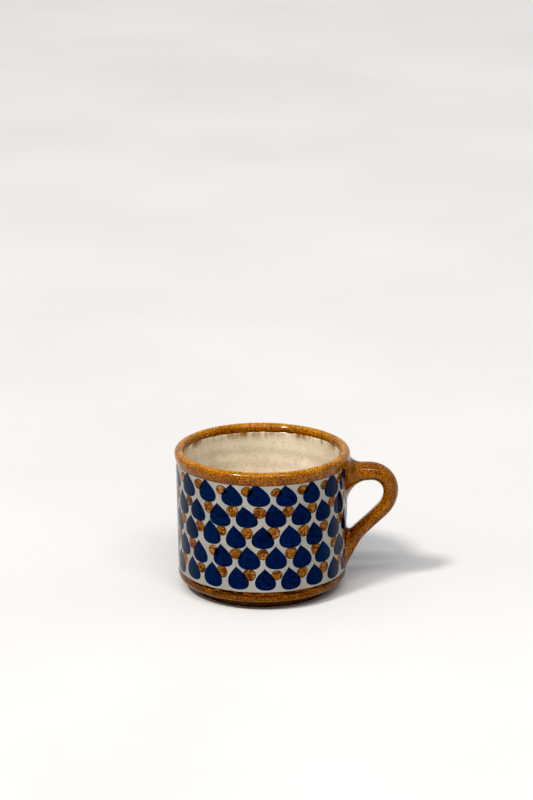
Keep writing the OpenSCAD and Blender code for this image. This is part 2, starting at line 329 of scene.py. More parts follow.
def liner(name):
    """Cream glaze from the inner edge of the lip's coat to the middle of the floor."""
    verts, edge = [], []
    start, last = inside_edge - tuck, floor_s - 0.4
    for k in np.linspace(0, 1, liner_steps):
        s = start + (last - start) * k
        r, z = on_outline(s, 0.0)
        nr, nz = (np.interp(s, cup_along, cup_out[:, i]) for i in (0, 1))
        depth = s - inside_edge
        fade = np.clip(depth / 8, 0, 1) * np.clip((last - s) / 10, 0, 1)
        spiral = 0.10 * np.sin(s * 0.85 + turn) * fade
        verts.append(out_of_round((r + spiral * nr) * lay_x, (r + spiral * nr) * lay_y,
                                  z + spiral * nz))
        edge.append(np.maximum(depth, 0))
    for k in np.linspace(1, 0, liner_steps // 2):
        s = start + (last - start) * k
        r, z = on_outline(s, -coat_depth)
        verts.append(out_of_round(r * lay_x, r * lay_y, z))
        edge.append(np.maximum(s - inside_edge, 0))
    rows = len(verts)
    faces = ring_faces(rows, sectors, True)
    # open the skin between its two smallest rings and close each with a fan
    gap = range((liner_steps - 1) * sectors, liner_steps * sectors)
    faces = [f for i, f in enumerate(faces) if i not in gap]
    points = np.vstack(verts)
    top, under = liner_steps - 1, liner_steps
    middle = len(points)
    points = np.vstack([points, points[top * sectors:(top + 1) * sectors].mean(0),
                        points[under * sectors:(under + 1) * sectors].mean(0)])
    faces += fan(top * sectors, sectors, middle) + fan(under * sectors, sectors, middle + 1, True)
    return link_piece(name, points, faces, {"edge": np.append(np.concatenate(edge), [60, 60])})


cream_liner = liner("cream_liner")

# %% [markdown]
# ## The bare clay
# Only the foot ring and the hollow inside it stay unglazed, so that the mug doesn't fuse to the
# kiln shelf. A turning tool cut them, and it leaves fine grooves and a small twist in the
# middle. The rest of this mesh is the wall under the glaze.

# %% The clay cup
ring_bevel = 0.8
low_clay = clay_pts[clay_pts[:, 2] < step_z - 0.1]
hollow_z = low_clay[across(low_clay) < ring_in + ring_bevel + 0.1][:, 2].max()


def clay_outline():
    """The unglazed underside from the middle outwards, then the wall under the glaze."""
    hollow_r = np.linspace(0.5, ring_in - 1.2, 40)
    groove = 0.10 * np.sin(hollow_r * 2.6) * np.clip(hollow_r / 6, 0, 1)
    button = 0.5 * np.exp(-(hollow_r / 3.0) ** 2)
    hollow = np.stack([hollow_r, hollow_z + groove - button], 1)
    corner = np.array([[ring_in - 0.5, hollow_z - 0.2], [ring_in - ring_bevel, hollow_z - 1.0],
                       [ring_in - ring_bevel, ring_bevel], [ring_in - 0.25, 0.22]])
    face_r = np.linspace(ring_in + 0.1, ring_out - ring_bevel - 0.1, 14)
    face = np.stack([face_r, 0.04 * (1 + np.sin(face_r * 5.0))], 1)
    outside = np.array([[ring_out - 0.25, 0.22], [ring_out, ring_bevel], [ring_out, step_z]])
    s = np.linspace(0.5, floor_s - 2, 90)
    under = np.stack(on_outline(s, -coat_depth + 0.01), 1)
    return np.vstack([hollow, corner, face, outside, under])


def clay_cup(name):
    line = clay_outline()
    verts = [out_of_round(r * lay_x, r * lay_y, np.full(sectors, z)) for r, z in line]
    points = np.vstack(verts)
    rows = len(line)
    faces = ring_faces(rows, sectors, False)
    middle = len(points)
    last = (rows - 1) * sectors
    points = np.vstack([points, points[:sectors].mean(0), points[last:].mean(0)])
    faces += fan(0, sectors, middle, True) + fan(last, sectors, middle + 1)
    return link_piece(name, points, faces)


turned_clay = clay_cup("turned_clay")

# %% [markdown]
# ## The pulled handle
# A potter pulls the strap from a lump of clay and lutes it on with slip. Its middle line is two
# bends and two runs, as in the CAD strap. Lines are drawn along the strap, and each one flares
# into a fillet as it nears the cup, until it lies on the cup's own surface. So the handle grows
# out of the lip, and its tail dies into the heel, without a seam.

# %% Middle line of the strap
handle_pts = node_points("handle_glaze")
handle_out = handle_pts[:, 0].max()
handle_half_w = 5.7
strap_t, root_t = 7.4, 11.8
arch_r, bend_r, tail_r = 9.9, 14.5, 16.0
run_lean, tail_lean = math.radians(46), math.radians(22)
arch_z = lip_top - 12.4
strap_points = 500
strap_x = handle_out - strap_t / 2
tail_end = np.array([band_r0 - 3.0, step_z + 3.6])
root_x = band_r0 - 2.1


def strap_line():
    """Points of the strap's middle line with the way its thickness points at each of them."""
    k = np.linspace(-0.5, 1, 90)
    root = np.stack([root_x + (strap_x - arch_r - root_x) * k,
                     arch_z - 1.6 * (1 - np.sin(k * math.pi / 2))], 1)
    arch = arc_points(strap_x - arch_r, arch_z - arch_r, arch_r, 90, 0, 60)
    bend = arc_points(strap_x - bend_r, arch_z - arch_r, bend_r, 0, -math.degrees(run_lean), 40)
    run_dir = np.array([math.sin(run_lean), math.cos(run_lean)])
    tail_dir = np.array([math.sin(tail_lean), math.cos(tail_lean)])
    # where the run and the tail would cross if no bend joined them
    p, q = bend[-1], tail_end
    cross = (q[0] - p[0]) * tail_dir[1] - (q[1] - p[1]) * tail_dir[0]
    cross /= run_dir[0] * tail_dir[1] - run_dir[1] * tail_dir[0]
    corner = p + run_dir * cross
    cut = tail_r * math.tan((run_lean - tail_lean) / 2)
    start = corner + cut * run_dir
    centre = start + tail_r * np.array([math.cos(run_lean), -math.sin(run_lean)])
    a = np.linspace(run_lean, tail_lean, 30)
    turn_in = np.stack([centre[0] - tail_r * np.cos(a), centre[1] + tail_r * np.sin(a)], 1)
    rough = np.vstack([root, arch[1:], bend[1:], turn_in, tail_end])
    share = np.linspace(0, 1, strap_points)
    along = lengths(rough)
    pts = points_at(share * along[-1], along, rough)
    kernel = np.hanning(33)
    kernel /= kernel.sum()
    soft = [np.convolve(np.pad(pts[:, i], 16, "reflect", reflect_type="odd"), kernel, "valid")
            for i in (0, 1)]
    line = np.stack(soft, 1)
    way = np.gradient(line, axis=0)
    way /= np.hypot(way[:, 0], way[:, 1])[:, None]
    return share, line, np.stack([-way[:, 1], way[:, 0]], 1)


strap_share, strap_mid, strap_side = strap_line()
half_t = np.interp(strap_share, [0, 0.17, 0.30, 0.45, 0.63, 0.80, 1],
                   [root_t / 2, 4.75, 4.15, 3.72, 3.28, 3.65, 1.9])
half_w = handle_half_w * np.interp(strap_share, [0, 0.3, 0.7, 0.85, 1], [1.12, 1.0, 0.93, 1.0, 1.1])
smooth_kernel = np.hanning(61) / np.hanning(61).sum()
half_t = np.convolve(np.pad(half_t, 30, "edge"), smooth_kernel, "valid")
half_w = np.convolve(np.pad(half_w, 30, "edge"), smooth_kernel, "valid")
print("strap %.1f mm thick at its root, %.1f at the bend" % (2 * half_t[0], 2 * half_t.min()))

# %% [markdown]
# ## Lines along the strap
# Each line along the strap has its own angle around the section. `off_cup` says how far a point
# is from the cup's surface. A fillet of radius k pushes a point that is d away outwards by
# k - sqrt(k*k - (k - d)^2), which is a quarter circle between the strap and the wall.

# %% One line along the strap
def off_cup(p):
    """Distance of points from the cup's outer surface, the rolled lip included."""
    r = np.hypot(p[..., 0], p[..., 1])
    wall = np.interp(p[..., 2], [0, band_z0, band_z1, band_z1 + 1.6, lip_z],
                     [band_r0, band_r0, band_r1, band_r1 + 0.35, rim_r])
    roll = np.hypot(r - lip_x, p[..., 2] - lip_z) - lip_r
    return np.where(p[..., 2] > lip_z, roll, r - wall)


def strap_skin_line(u, inset, flare):
    """One line along the strap at angle u, from the lip's side to the heel."""
    c, s = math.cos(u), math.sin(u)
    thick = (half_t - inset) * math.copysign(abs(c) ** 0.92, c)
    wide = (half_w - inset) * math.copysign(abs(s) ** 0.86, s)
    ridge = 0.10 * np.sin(3 * u + 5 * strap_share) + 0.06 * np.sin(7 * u + 2)
    sway = 0.35 * np.sin(strap_share * 5.2 + 0.6) * np.sin(strap_share * math.pi)
    base = np.stack([strap_mid[:, 0] + (thick + ridge * c) * strap_side[:, 0],
                     wide + ridge * s + sway,
                     strap_mid[:, 1] + (thick + ridge * c) * strap_side[:, 1]], 1)
    out_t, out_w = c / 5.0, s / 5.6
    length = math.hypot(out_t, out_w)
    push = np.stack([out_t / length * strap_side[:, 0], np.full(strap_points, out_w / length),
                     out_t / length * strap_side[:, 1]], 1)
    up, down = max(0.0, c) ** 2, max(0.0, -c) ** 2
    at_root = 8.6 + 0.6 * down - 1.8 * up
    at_tail = 2.6 + 0.8 * down - 2.2 * up
    k = flare * np.where(strap_share < 0.5, at_root, at_tail)
    # the fillet is a quarter circle, so how far it pushes out goes with the distance from the
    # cup of the pushed point itself; halving the guess again and again finds the two together
    low, high = np.zeros(strap_points), np.array(k)
    for _ in range(20):
        guess = (low + high) / 2
        d = np.clip(off_cup(base + push * guess[:, None]), 0, k)
        short = k - np.sqrt(np.maximum(0, k * k - (k - d) ** 2)) > guess
        low, high = np.where(short, guess, low), np.where(short, high, guess)
    return base + push * low[:, None]


# %% [markdown]
# ## The handle's skin
# A skin is made of many such lines side by side. Each is cut where it dives into the cup and
# divided into the same number of rows. The rows lie closer together at the two ends, where the
# fillets bend most. The same function makes the glaze, the clay strap under it and, from just
# the ends of the lines, the two fillets of slip.

# %% The handle's skin
strap_sectors = 72
strap_rows = 150


def skin_grid(inset, flare, start_share, stop_share):
    """Lines of the strap cut off where they meet the cup, as rows of points."""
    turns = 2 * math.pi * np.arange(strap_sectors) / strap_sectors
    walk = (1 - np.cos(np.linspace(0, math.pi, strap_rows))) / 2
    walk = start_share + (stop_share - start_share) * (0.45 * walk + 0.55 * np.linspace(0, 1, strap_rows))
    grid = np.empty((strap_rows, strap_sectors, 3))
    reach = np.empty((strap_rows, strap_sectors))
    for i, u in enumerate(turns):
        line = strap_skin_line(u, inset, flare)
        away = off_cup(line) + 0.05 + inset
        half = len(line) // 2
        first = half - np.argmax(away[half::-1] <= 0)
        last = half + np.argmax(away[half:] <= 0)
        start = first + away[first] / (away[first] - away[first + 1])
        stop = last - away[last] / (away[last] - away[last - 1])
        length = lengths(line)
        start, stop = np.interp((start, stop), np.arange(len(line)), length)
        at = start + (stop - start) * walk
        grid[:, i] = points_at(at, length, line)
        reach[:, i] = np.minimum(at - start, stop - at)
    return grid, reach


def handle_skin(name, inset, flare, start_share=0.0, stop_share=1.0):
    """A closed skin round the strap, or round one end of it, whose ends lie inside the cup."""
    grid, reach = skin_grid(inset, flare, start_share, stop_share)
    ends = []
    for row, sunk in ((grid[0], start_share == 0), (grid[-1], stop_share == 1)):
        shrink = 1 - (0.5 if sunk else 0) / np.hypot(row[:, 0], row[:, 1])
        ends.append(row * np.stack([shrink, shrink, np.ones_like(shrink)], 1))
    points = np.vstack([ends[0], grid.reshape(-1, 3), ends[1]])
    rows = strap_rows + 2
    faces = [f[::-1] for f in ring_faces(rows, strap_sectors, False)]
    # where the strap's coat runs on into the lip's or the heel's there is no edge to pool at
    into_lip = np.clip((grid[..., 2] - band_z1 + 2) / 3, 0, 1)
    into_heel = np.clip((band_z0 + 1 - grid[..., 2]) / 2, 0, 1)
    near = (reach + 6 * (into_lip + into_heel)).ravel()
    near = np.concatenate([near[:strap_sectors], near, near[-strap_sectors:]])
    middle, last_row = len(points), (rows - 1) * strap_sectors
    points = np.vstack([points, ends[0].mean(0), ends[1].mean(0)])
    faces += fan(0, strap_sectors, middle) + fan(last_row, strap_sectors, middle + 1, True)
    near = np.append(near, [0, 0])
    return link_piece(name, points, faces, {"edge": near, "crest": np.zeros(len(near))})


amber_handle = handle_skin("amber_handle", 0.0, 1.0)
clay_strap = handle_skin("clay_strap", 0.7, 0.25)
slip_root = handle_skin("slip_root", 0.35, 0.94, 0.0, 0.12)
slip_tail = handle_skin("slip_tail", 0.35, 0.94, 0.93, 1.0)

# %% [markdown]
# ## The painting: one drop
# The painter loads a round brush with cobalt, sets its belly on the pot, and draws it up to a
# point. That gives a wide, flattened bottom, full shoulders and a thin tip. The outline below
# has those three parts. It is filled with rings that shrink towards the middle, so every point
# knows how far it is from the stroke's edge. A dot is one dab of the brush, nearly round.

# %% Outline of a drop and of a dot
drop_w, drop_h = 11.1, 12.7
stroke_points = 44


def drop_outline(width, height, shoulder, tip_lean):
    """Points (across, up) around one drop, with its bottom at zero height."""
    belly = height * 0.30
    a = np.linspace(-math.pi, 0, stroke_points // 2, endpoint=False)
    low = np.stack([width / 2 * np.sign(np.cos(a)) * np.abs(np.cos(a)) ** 0.82,
                    belly + belly * np.sign(np.sin(a)) * np.abs(np.sin(a)) ** 0.88], 1)
    v = np.linspace(0, 1, stroke_points // 4 + 1)
    v = 1 - (1 - v) ** 1.3
    # the lifted brush leaves a hair of paint above the point
    hair = 0.028 * width * np.clip(2.2 * (1 - v), 0, 1)
    side = np.maximum(width / 2 * (1 - v / 0.93).clip(0) ** shoulder * (1 + shoulder * v / 0.93), hair)
    side[-1] = 0.0
    right = np.stack([side, belly + (height - belly) * v], 1)
    left = np.stack([-side[-2:0:-1], belly + (height - belly) * v[-2:0:-1]], 1)
    shape = np.vstack([low, right, left])
    shape[:, 0] += tip_lean * (np.clip(shape[:, 1] / height, 0, 1) ** 1.5 - 0.2)
    return shape


def dot_outline(radius, squash, bumps):
    """Points around one dabbed dot, centred on zero."""
    a = np.linspace(0, 2 * math.pi, 28, endpoint=False)
    r = radius * (1 + bumps[0] * np.cos(2 * a + bumps[1]) + bumps[2] * np.cos(3 * a + bumps[3]))
    return np.stack([r * np.cos(a), squash * r * np.sin(a)], 1)


# %% [markdown]
# ## Setting out the pattern
# Nineteen drops go round the mug in each of five rows, and every second row is moved on by half
# a drop, like roof tiles. A dot hangs just under each drop, a little to its right, where it fills
# the gap between the shoulders of two drops in the row below. The top dots stand where a sixth
# row would hang. No two strokes are quite alike: each has its own size, lean and place.

# %% The places of the strokes
drops_round = 19
rows_of_drops = 5
lowest_bottom = band_z0 + 1.1
row_step = 10.9
# where the painter started each row, lowest first, as degrees to the right of the front, and
# how far the points of its drops lean to the left
row_starts = (1.9, 9.7, 0.7, 8.4, -2.2)
row_leans = (1.0, 1.1, 1.2, 1.8, 1.7)
front = -math.pi / 2
pitch = 2 * math.pi / drops_round
# the strokes stand a little closer at the front, where the painter began
front_gather = 0.03


def wall_radius(z):
    return np.interp(z, cup_line[cup_along <= crest_s, 1], cup_line[cup_along <= crest_s, 0])


def spot(start, row, k):
    """The angle about the axis and the lowest point of stroke k in a row that begins at start."""
    right = math.radians(start) + pitch * k
    return front + right - front_gather * math.sin(right), lowest_bottom + row_step * row


def placed(shape, angle, z0, lean):
    """Turns a flat outline by lean and gives its points as angle and height on the wall."""
    c, s = math.cos(lean), math.sin(lean)
    mid_z = shape[:, 1].mean()
    x = shape[:, 0] * c - (shape[:, 1] - mid_z) * s
    z = mid_z + shape[:, 0] * s + (shape[:, 1] - mid_z) * c
    return np.stack([angle + x / band_r1, z0 + z], 1)


print("%d drops to a row, %.1f mm apart" % (drops_round, pitch * band_r1))

# %% Drops and dots
paint_rng = np.random.default_rng(5)
drops = []
for row in range(rows_of_drops):
    for k in range(drops_round):
        angle, z0 = spot(row_starts[row], row, k)
        jitter = paint_rng.normal(size=6)
        shape = drop_outline(drop_w * (1 + 0.035 * jitter[0]), drop_h * (1 + 0.035 * jitter[1]),
                             1.20 + 0.06 * jitter[2], 0.35 * jitter[3] - row_leans[row])
        drops.append(placed(shape, angle + 0.008 * jitter[4], z0 + 0.25 * jitter[5],
                            0.05 * paint_rng.normal()))
dot_r, dot_right, dot_below = 3.15, 0.01, 2.75
dots = []
for row in range(1, rows_of_drops + 1):
    top_row = row == rows_of_drops
    for k in range(drops_round):
        angle, z0 = spot(row_starts[row - 2 if top_row else row], row, k)
        jitter = paint_rng.normal(size=7)
        shape = dot_outline(dot_r * (1 + 0.04 * jitter[0]), 0.97 + 0.03 * jitter[1],
                            (0.03 * jitter[2], jitter[3] * 3, 0.02 * jitter[4], jitter[5] * 3))
        z0 -= dot_below
        # the top dots are squeezed against the lip's glaze, so they are flatter and sit lower
        if top_row:
            shape[:, 1] *= 0.86
            z0 -= 0.35
        dots.append(placed(shape, angle + dot_right + 0.012 * jitter[6], z0 + 0.2 * jitter[1], 0.0))
print("%d drops and %d dots" % (len(drops), len(dots)))

# %% [markdown]
# ## Thin domes of paint
# A stroke is a thin dome of paint under the glaze: it swells from its edge to its full height
# within half a millimetre. The same dots were dabbed over and under the drops, so each point of
# a dot also records how deep it lies inside a drop, for the shader to darken.

# %% Distance from a stroke's edge
def edge_distance(points, outline_points):
    """Distance in millimetres from points to a closed outline, negative outside it."""
    a = outline_points * (band_r1, 1)
    b = np.roll(a, -1, axis=0)
    p = points * (band_r1, 1)
    ab = b - a
    t = np.clip(((p[:, None] - a) * ab).sum(2) / (ab * ab).sum(1), 0, 1)
    near = np.hypot.reduce(p[:, None] - (a + t[..., None] * ab), axis=2).min(1)
    crosses = (a[:, 1] > p[:, None, 1]) != (b[:, 1] > p[:, None, 1])
    x_at = a[:, 0] + ab[:, 0] * (p[:, None, 1] - a[:, 1]) / np.where(ab[:, 1] == 0, 1e-9, ab[:, 1])
    inside = (crosses & (p[:, None, 0] < x_at)).sum(1) % 2 == 1
    return np.where(inside, near, -near)


# %% [markdown]
# Every stroke becomes rings that shrink towards its middle, with a flat back just inside the
# glaze. Each of its points keeps four marks: how far it is from the edge, how high it lies in
# the stroke, the stroke's own tone, and whether another stroke lies under it.

# %% Filling the strokes
fill_steps = (1.0, 0.97, 0.92, 0.84, 0.72, 0.56, 0.38, 0.2)


def strokes(name, outlines, lift, tone_seed, under=()):
    """One piece that holds every stroke as its own thin closed dome."""
    tone_rng = np.random.default_rng(tone_seed)
    verts, faces, edge, tone, over, height = [], [], [], [], [], []
    for line in outlines:
        n = len(line)
        centre = np.array([line[:, 0].mean(), line[:, 1].min() * 0.6 + line[:, 1].max() * 0.4])
        flat = np.vstack([centre + (line - centre) * k for k in fill_steps] + [centre[None]])
        inset = np.maximum(0, edge_distance(flat, line))
        inset[:n] = 0
        dome = lift * (1 - np.exp(-inset / 0.35))
        z = flat[:, 1]
        r = wall_radius(z) - 0.02 + dome
        top = out_of_round(r * np.cos(flat[:, 0]), r * np.sin(flat[:, 0]), z)
        rim = slice(0, n)
        r_low = wall_radius(z[rim]) - 0.12
        low = out_of_round(r_low * np.cos(flat[rim, 0]), r_low * np.sin(flat[rim, 0]), z[rim])
        r_mid = wall_radius(centre[1]) - 0.12
        low_mid = out_of_round(r_mid * np.cos(centre[0]), r_mid * np.sin(centre[0]), centre[1])
        base = sum(len(v) for v in verts)
        verts.append(np.vstack([top, low, low_mid]))
        count = len(fill_steps)
        centre_at, low_at = base + count * n, base + count * n + 1
        faces += [tuple(base + i for i in face) for face in ring_faces(count, n, False)]
        faces += [(low_at + k, low_at + (k + 1) % n, base + (k + 1) % n, base + k)
                  for k in range(n)]
        faces += fan(base + (count - 1) * n, n, centre_at) + fan(low_at, n, low_at + n, True)
        hidden = np.full(len(flat), -9.0)
        for other in under:
            if abs((other[0, 0] - centre[0] + math.pi) % (2 * math.pi) - math.pi) < 0.45 and \
                    abs(other[:, 1].mean() - centre[1]) < 14:
                moved = other.copy()
                moved[:, 0] += 2 * math.pi * round((centre[0] - other[0, 0]) / (2 * math.pi))
                hidden = np.maximum(hidden, edge_distance(flat, moved))
        extra = np.zeros(n + 1)
        edge.append(np.concatenate([inset, extra]))
        tone.append(np.full(len(flat) + n + 1, tone_rng.random()))
        over.append(np.concatenate([np.clip(hidden / 0.5 + 0.5, 0, 1), extra]))
        rel = (flat[:, 1] - line[:, 1].min()) / np.ptp(line[:, 1])
        height.append(np.concatenate([rel, rel[:n], [0.4]]))
    return link_piece(name, np.vstack(verts), faces,
                      {"edge": np.concatenate(edge), "tone": np.concatenate(tone),
                       "over": np.concatenate(over), "height": np.concatenate(height)})


# %% [markdown]
# ## Paint the band
# The painter works round the handle, so strokes that its two ends would hide are left out. The
# drops and the dots are two pieces, because they are two colours from two brushes.

# %% Paint the band
def clear_of_handle(line):
    """True where a stroke isn't hidden by the handle's two ends."""
    angle = (line[:, 0].mean() + math.pi) % (2 * math.pi) - math.pi
    sideways = abs(angle) * band_r1
    z = line[:, 1].mean()
    return not (sideways < 4.0 and (z > 50 or z < 26))


drops_seen = [line for line in drops if clear_of_handle(line)]
dots_seen = [line for line in dots if clear_of_handle(line)]
cobalt_drops = strokes("cobalt_drops", drops_seen, 0.07, 11)
amber_dabs = strokes("amber_dabs", dots_seen, 0.10, 12, drops)

# %% [markdown]
# ## Glazes from nodes
# A `Finish` collects the shader nodes of one glaze. Each method adds one node and hands back
# its output, so a recipe reads from top to bottom. All patterns are laid out in the object's own
# millimetres, because a speckle of iron is as large on the handle as on the lip.

# %% Finish helper
def tint(red, green, blue):
    """A colour given as 0 to 255 on a screen, as the linear numbers a shader wants."""
    parts = [c / 255 for c in (red, green, blue)]
    return tuple(c / 12.92 if c <= 0.04045 else ((c + 0.055) / 1.055) ** 2.4 for c in parts) + (1,)


class Finish:
    """One glaze, paint or clay: a material whose nodes are added one call at a time."""

    def __init__(self, name, ior=1.5, gloss=0.22):
        self.material = bpy.data.materials.new(name)
        self.material.use_nodes = True
        self.nodes = self.material.node_tree.nodes
        self.links = self.material.node_tree.links
        self.shader = self.nodes["Principled BSDF"]
        self.shader.inputs["IOR"].default_value = ior
        self.shader.inputs["Specular IOR Level"].default_value = gloss
        self.place = self.nodes.new("ShaderNodeTexCoord").outputs["Object"]

    def put(self, socket, value):
        """Joins another node's output to a socket, or sets the socket to a plain number."""
        if isinstance(value, bpy.types.NodeSocket):
            self.links.new(value, socket)
        else:
            socket.default_value = value

    def noise(self, per_mm, detail=3.0, stretch=(1, 1, 1), distortion=0.0, shift=0.0):
        """Cloudy noise with about per_mm patches in each millimetre."""
        mapping = self.nodes.new("ShaderNodeMapping")
        mapping.inputs["Scale"].default_value = [per_mm / mm * s for s in stretch]
        mapping.inputs["Location"].default_value = (shift, shift * 1.7, shift * 0.6)
        self.links.new(self.place, mapping.inputs["Vector"])
        node = self.nodes.new("ShaderNodeTexNoise")
        node.inputs["Scale"].default_value = 1.0
        node.inputs["Detail"].default_value = detail
        node.inputs["Distortion"].default_value = distortion
        self.links.new(mapping.outputs["Vector"], node.inputs["Vector"])
        return node.outputs["Fac"]

    def grains(self, per_mm, shift=0.0):
        """Distance to the nearest of scattered points, about per_mm of them in a millimetre."""
        mapping = self.nodes.new("ShaderNodeMapping")
        mapping.inputs["Scale"].default_value = [per_mm / mm] * 3
        mapping.inputs["Location"].default_value = (shift, shift, shift)
        self.links.new(self.place, mapping.inputs["Vector"])
        node = self.nodes.new("ShaderNodeTexVoronoi")
        node.inputs["Scale"].default_value = 1.0
        self.links.new(mapping.outputs["Vector"], node.inputs["Vector"])
        return node.outputs["Distance"]

    def mark(self, name):
        """A number that the mesh keeps at every point."""
        node = self.nodes.new("ShaderNodeAttribute")
        node.attribute_name = name
        return node.outputs["Fac"]

    def span(self, value, low, high, to_low=0.0, to_high=1.0):
        """Stretches the part of value between low and high, and holds it at both ends."""
        node = self.nodes.new("ShaderNodeMapRange")
        node.interpolation_type = "SMOOTHSTEP"
        for key, number in (("From Min", low), ("From Max", high),
                            ("To Min", to_low), ("To Max", to_high)):
            node.inputs[key].default_value = number
        self.put(node.inputs["Value"], value)
        return node.outputs["Result"]

    def math(self, operation, a, b=0.0):
        node = self.nodes.new("ShaderNodeMath")
        node.operation = operation
        self.put(node.inputs[0], a)
        self.put(node.inputs[1], b)
        return node.outputs[0]

    def mix(self, amount, a, b):
        """Colour a where amount is 0, colour b where it is 1."""
        node = self.nodes.new("ShaderNodeMix")
        node.data_type = "RGBA"
        self.put(node.inputs["Factor"], amount)
        self.put(node.inputs[6], a)
        self.put(node.inputs[7], b)
        return node.outputs[2]

    def colour(self, value):
        self.put(self.shader.inputs["Base Color"], value)

    def roughness(self, value):
        self.put(self.shader.inputs["Roughness"], value)

    def bumps(self, *layers):
        """Adds relief: each layer is (height value, millimetres)."""
        normal = None
        for value, height in layers:
            node = self.nodes.new("ShaderNodeBump")
            node.inputs["Distance"].default_value = height * mm
            self.links.new(value, node.inputs["Height"])
            if normal is not None:
                self.links.new(normal, node.inputs["Normal"])
            normal = node.outputs["Normal"]
        self.links.new(normal, self.shader.inputs["Normal"])

    def glassy(self, colour, haze, smooth, dull):
        """Ends a recipe with its colour, a gloss that haze dulls in patches, and a ripple."""
        self.colour(colour)
        self.roughness(self.span(haze, 0.3, 0.8, smooth, dull))
        self.bumps((self.noise(0.22, 2), 0.03), (self.noise(1.4, 2), 0.004))
        return self.material


# %% [markdown]
# ## The amber iron glaze
# Iron gives this glaze its colour. It breaks to gold where it is thin, on the lip's crest, and that gold
# is also a painted highlight along the roll. It pools to a dark line where it ends. Fine dark grains of
# iron lie all through it, and near its edge the brush left darker streaks.

# %% Amber glaze
def amber_glaze(name, streak_reach, streak_cut, dark=0.0, ior=1.5):
    f = Finish(name, ior, 0.28)
    clouds = f.noise(0.16, 4, distortion=0.6)
    mottle = f.noise(0.8, 4, shift=3.0)
    colour = f.mix(f.span(clouds, 0.3, 0.7), tint(136, 76, 4), tint(170, 101, 8))
    colour = f.mix(f.span(mottle, 0.42, 0.7, 0, 0.6), colour, tint(98, 50, 2))
    # painted highlight: the crest is lightened to gold, partly thin glaze and partly a highlight painted
    # along the roll
    gold_break_and_highlight = f.math("MULTIPLY", f.mark("crest"), f.span(clouds, 0.25, 0.6, 0.45, 0.85))
    colour = f.mix(gold_break_and_highlight, colour, tint(212, 140, 30))
    grain = f.span(f.noise(2.0, 2, shift=7.0), 0.50, 0.58)
    colour = f.mix(f.math("MULTIPLY", grain, 0.85), colour, tint(44, 18, 2))
    pepper = f.span(f.grains(1.3, 2.0), 0.26, 0.42, 1, 0)
    colour = f.mix(f.math("MULTIPLY", pepper, 0.85), colour, tint(18, 7, 2))
    edge = f.mark("edge")
    rust = f.span(edge, 0.25, 1.3, 1, 0)
    colour = f.mix(f.math("MULTIPLY", rust, 0.55), colour, tint(100, 44, 4))
    pool = f.span(edge, 0.05, 0.5, 1, 0)
    colour = f.mix(f.math("MULTIPLY", pool, 0.8), colour, tint(44, 18, 5))
    streak = f.noise(0.13, 5, stretch=(1, 1, 7), distortion=0.4, shift=6.2)
    streak = f.math("MULTIPLY", f.span(streak, streak_cut, streak_cut + 0.05),
                    f.span(edge, 0.2, streak_reach, 1, 0))
    colour = f.mix(streak, colour, tint(26, 13, 8))
    # painted shade: dark mixes the whole coat evenly towards near-black brown
    colour = f.mix(dark, colour, tint(24, 10, 2))
    f.colour(colour)
    f.roughness(f.span(mottle, 0.3, 0.8, 0.06, 0.13))
    f.bumps((f.noise(0.28, 2), 0.03), (f.noise(1.5, 2), 0.006))
    return f.material


# the foot's coat is darkened by 0.26 as painted shade, because that band faces down; the strap's coat is
# darkened a little, by 0.12
amber_on_cup = amber_glaze("amber_on_cup", 1.6, 0.60)
amber_on_foot = amber_glaze("amber_on_foot", 5.0, 0.48, 0.26, ior=1.28)
amber_on_strap = amber_glaze("amber_on_strap", 5.0, 0.60, 0.12)

# %% [markdown]
# ## The pale glaze and the liner
# The band is a thin grey-cream glaze that lets the clay warm it a little. The liner is the same
# family, yellower, with iron specks that came up out of the clay. Below the brown lip the liner
# is stained where the iron glaze ran.

# %% Pale glaze and cream liner
def pale_glaze(name):
    f = Finish(name, ior=1.22, gloss=0.45)
    clouds = f.noise(0.08, 4, distortion=0.4)
    colour = f.mix(f.span(clouds, 0.3, 0.7), tint(136, 132, 124), tint(149, 145, 137))
    fine = f.noise(0.7, 4, shift=5.0)
    colour = f.mix(f.span(fine, 0.5, 0.75, 0, 0.4), colour, tint(130, 121, 107))
    specks = f.span(f.grains(0.42, 1.0), 0.04, 0.09, 1, 0)
    colour = f.mix(f.math("MULTIPLY", specks, 0.6), colour, tint(104, 84, 58))
    return f.glassy(colour, fine, 0.09, 0.18)


def cream_glaze(name):
    f = Finish(name)
    clouds = f.noise(0.07, 4, distortion=0.6)
    colour = f.mix(f.span(clouds, 0.3, 0.7), tint(204, 190, 164), tint(219, 206, 182))
    fine = f.noise(0.8, 4, shift=5.0)
    colour = f.mix(f.span(fine, 0.48, 0.75, 0, 0.5), colour, tint(168, 148, 110))
    specks = f.span(f.grains(0.5, 1.0), 0.06, 0.12, 1, 0)
    colour = f.mix(f.math("MULTIPLY", specks, 0.75), colour, tint(96, 66, 36))
    run = f.noise(0.25, 4, stretch=(1, 1, 0.25), shift=2.0)
    stain = f.math("MULTIPLY", f.span(f.mark("edge"), 0.0, 4.5, 1, 0), f.span(run, 0.35, 0.7))
    colour = f.mix(stain, colour, tint(126, 76, 24))
    return f.glassy(colour, fine, 0.10, 0.2)


pale_on_band = pale_glaze("pale_on_band")
cream_inside = cream_glaze("cream_inside")

# %% [markdown]
# ## Cobalt and amber paint
# Cobalt is strong: even a thin stroke is nearly black-blue, and only its rim and its tip, where
# the brush lifted, turn teal. The amber dots are weak iron wash. They stay see-through in the
# middle, dry darker at the rim, and go almost black over the cobalt.

